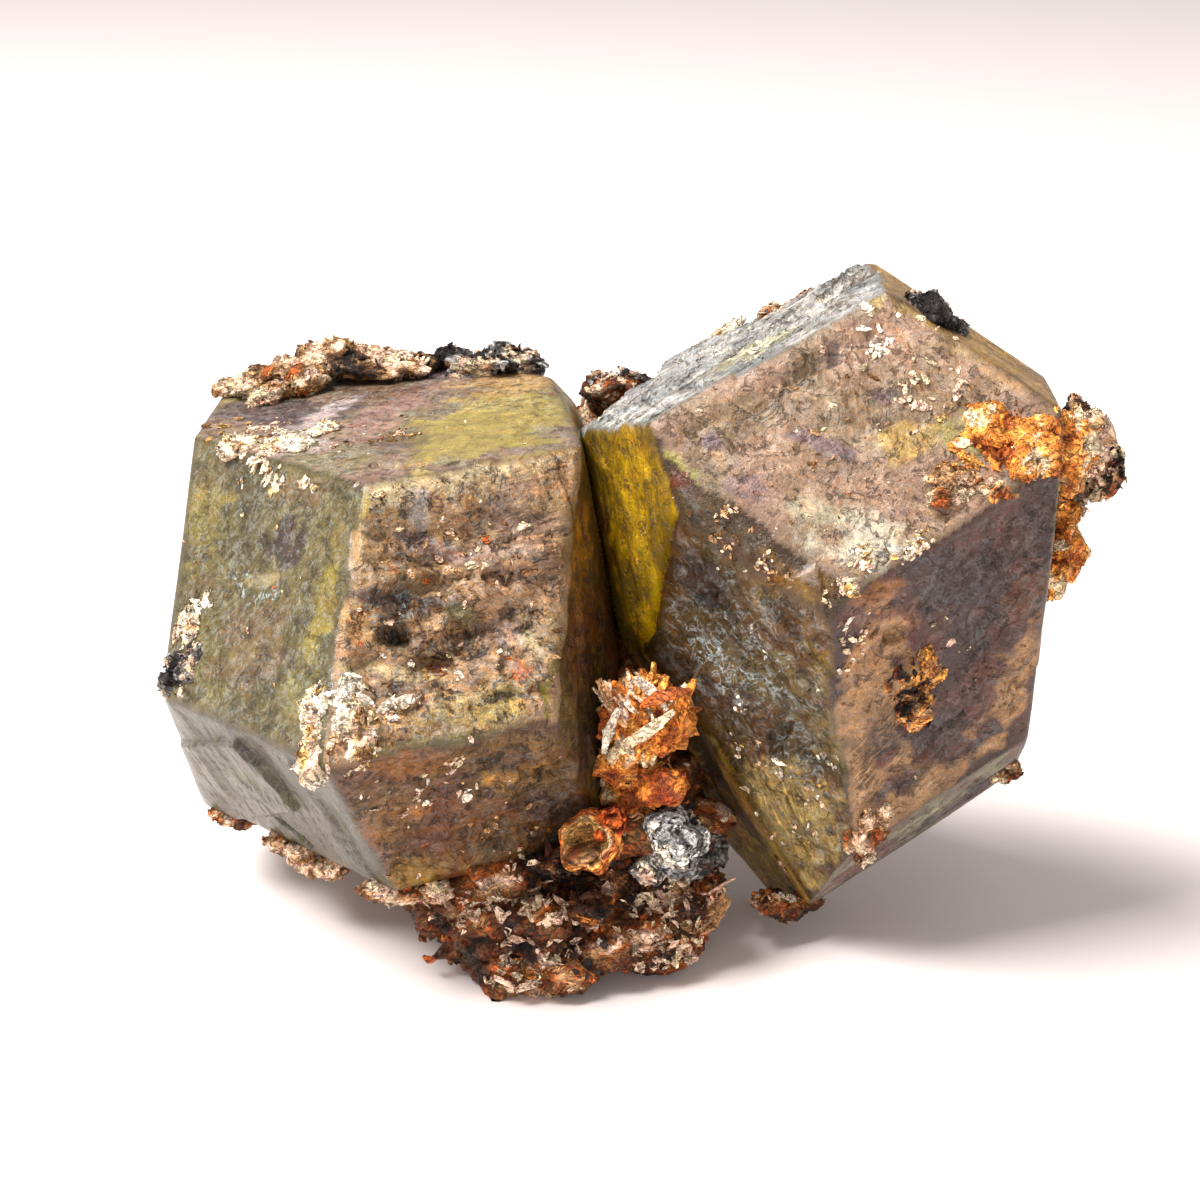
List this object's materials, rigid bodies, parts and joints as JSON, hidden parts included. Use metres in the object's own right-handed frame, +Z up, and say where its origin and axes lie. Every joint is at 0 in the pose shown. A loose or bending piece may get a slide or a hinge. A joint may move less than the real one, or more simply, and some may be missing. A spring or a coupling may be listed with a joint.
{
  "type": "garnet crystals with muscovite mica",
  "caption": "Mineral specimen: two grown-together green-brown garnet crystals with flat faces, crusted with rusty and silvery muscovite mica that it rests on.",
  "frame": {"origin": "on the resting surface, inside the flat foot of the mica base, under the middle of the specimen", "axes": "+Z up, +X to the viewer's right along the longest side, -Y towards the viewer in the picture"},
  "size_m": [0.0567, 0.0393, 0.0404],
  "materials": {
    "olive_garnet": "translucent olive to brown garnet, satin with glossy patches and rough pits",
    "brown_garnet": "brown to mauve and olive garnet, satin with frosty scales",
    "rusty_mica": "rust-stained muscovite crust, rough with pale flakes",
    "orange_mica": "orange iron-stained muscovite books, satin",
    "cream_mica": "cream to white muscovite flakes, pearly",
    "silver_mica": "silver-grey muscovite book, pearly",
    "dark_mica": "black and grey mica crust with pale flakes",
    "tan_mica": "tan weathered mica crumbs, rough"
  },
  "bodies": {
    "root": {"garnet_left": "olive_garnet", "garnet_right": "brown_garnet", "muscovite_base": "rusty_mica", "barrel_book": "orange_mica", "silver_book": "silver_mica", "orange_fan": "orange_mica", "orange_body": "orange_mica", "orange_knob": "rusty_mica", "yellow_knob": "orange_mica", "wing_flake": "tan_mica", "tip_rust": "rusty_mica", "corner_patch": "cream_mica", "left_white_patch": "cream_mica", "left_dark_patch": "dark_mica", "top_patch": "cream_mica", "tan_crest": "tan_mica", "pale_crest": "cream_mica", "dark_crest": "dark_mica", "back_wedge": "dark_mica", "low_ridge_crumb": "cream_mica", "high_ridge_crumb": "tan_mica", "dark_bump": "dark_mica", "corner_orange": "orange_mica", "corner_rim": "cream_mica", "ridge_patch": "tan_mica", "grey_lobe": "dark_mica", "rusty_lobe": "orange_mica", "speckled_patch": "orange_mica", "low_patch": "tan_mica", "edge_patch": "tan_mica", "corner_bit": "tan_mica", "low_crust_left": "rusty_mica", "low_crust_middle": "tan_mica", "low_crust_right": "tan_mica", "rear_crust": "cream_mica", "rear_seam": "tan_mica", "rear_flakes": "silver_mica"}
  },
  "joints": []
}
